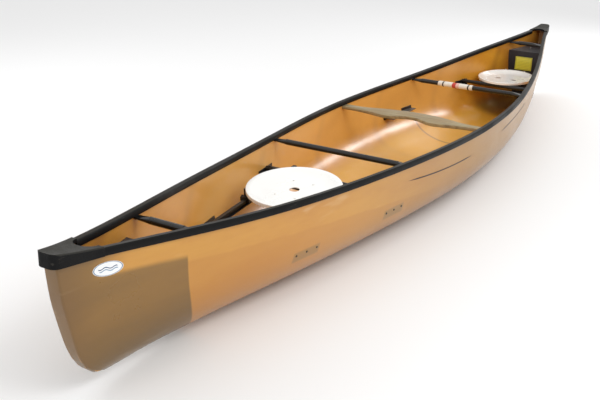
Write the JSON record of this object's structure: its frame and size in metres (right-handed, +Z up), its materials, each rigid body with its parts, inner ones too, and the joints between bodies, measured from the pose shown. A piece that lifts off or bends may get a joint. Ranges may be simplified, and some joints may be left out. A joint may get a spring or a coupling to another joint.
{
  "type": "canoe",
  "caption": "Open two-seat paddling canoe with an amber laminate hull, black gunwales, cross tubes, a wooden carrying yoke, and a front seat that slides along its rails.",
  "frame": {"origin": "on the ground under the middle of the hull, at the lowest point of the keel", "axes": "+X towards the bow, +Y to port, +Z up"},
  "size_m": [5.372, 0.8848, 0.5406],
  "materials": {
    "laminate": "amber aramid laminate, clear gloss resin",
    "gunwale_vinyl": "black extrusion, lightly scuffed",
    "deck_plastic": "black moulded, pebbled",
    "thwart_tube": "black coated alloy tube",
    "ash": "weathered, oiled",
    "wrap": "white tape with a red patch and dark bands",
    "seat_plastic": "white moulded",
    "label": "yellow vinyl, blank",
    "tank_skin": "black coated laminate",
    "fastener": "dulled",
    "eye_wire": "stainless wire",
    "fitting_plastic": "black nylon",
    "black_alloy": "black anodised"
  },
  "bodies": {
    "hull_body": {"hull": "laminate", "gunwale_port": "gunwale_vinyl", "gunwale_starboard": "gunwale_vinyl", "bow_deck_plate": "deck_plastic", "stern_deck_plate": "deck_plastic", "bow_carry_handle": "thwart_tube", "forward_thwart": "thwart_tube", "aft_thwart": "thwart_tube", "stern_carry_handle": "thwart_tube", "portage_yoke": "ash", "thwart_sleeve": "wrap", "crossbar_screws": "fastener", "bow_float_tank": "tank_skin", "stern_float_tank": "tank_skin", "tank_label": "label", "tank_eye": "eye_wire", "seat_rail_port": "black_alloy", "seat_rail_starboard": "black_alloy", "stern_seat_shell": "seat_plastic", "stern_seat_bolts": "seat_plastic", "bow_front_bracket_port": "black_alloy", "bow_front_bracket_starboard": "black_alloy", "bow_front_tube_bolts": "fastener", "bow_front_rivets": "fastener", "bow_front_cross_tube": "black_alloy", "bow_rear_bracket_port": "black_alloy", "bow_rear_bracket_starboard": "black_alloy", "bow_rear_tube_bolts": "fastener", "bow_rear_rivets": "fastener", "bow_rear_cross_tube": "black_alloy", "stern_front_bracket_port": "black_alloy", "stern_front_bracket_starboard": "black_alloy", "stern_front_tube_bolts": "fastener", "stern_front_rivets": "fastener", "stern_front_cross_tube": "black_alloy", "stern_rear_bracket_port": "black_alloy", "stern_rear_bracket_starboard": "black_alloy", "stern_rear_tube_bolts": "fastener", "stern_rear_rivets": "fastener", "stern_rear_cross_tube": "black_alloy", "mid_seat_bracket_front_port": "black_alloy", "mid_seat_bracket_front_starboard": "black_alloy", "mid_seat_bracket_rear_port": "black_alloy", "mid_seat_bracket_rear_starboard": "black_alloy"},
    "bow_seat": {"bow_seat_shell": "seat_plastic", "bow_seat_bolts": "seat_plastic", "bow_seat_bar_front": "black_alloy", "bow_seat_bar_rear": "black_alloy", "slide_block_front_port": "fitting_plastic", "slide_block_front_starboard": "fitting_plastic", "slide_block_rear_port": "fitting_plastic", "slide_block_rear_starboard": "fitting_plastic"},
    "clamp_knob_port": {"slide_clamp_knob_port": "fitting_plastic"},
    "clamp_knob_starboard": {"slide_clamp_knob_starboard": "fitting_plastic"}
  },
  "joints": [
    {"name": "bow_seat_slide", "type": "slide", "parent": "hull_body", "child": "bow_seat", "axis": [0.9954, 0, -0.0958], "range_m": [-0.15, 0.17]},
    {"name": "clamp_knob_turn_port", "type": "hinge", "parent": "bow_seat", "child": "clamp_knob_port", "pos_m": [1.30704, 0.2074, 0.23851], "axis": [0, 1, 0], "range_deg": [0, 360]},
    {"name": "clamp_knob_turn_starboard", "type": "hinge", "parent": "bow_seat", "child": "clamp_knob_starboard", "pos_m": [1.30704, -0.2074, 0.23851], "axis": [0, -1, 0], "range_deg": [0, 360]}
  ]
}
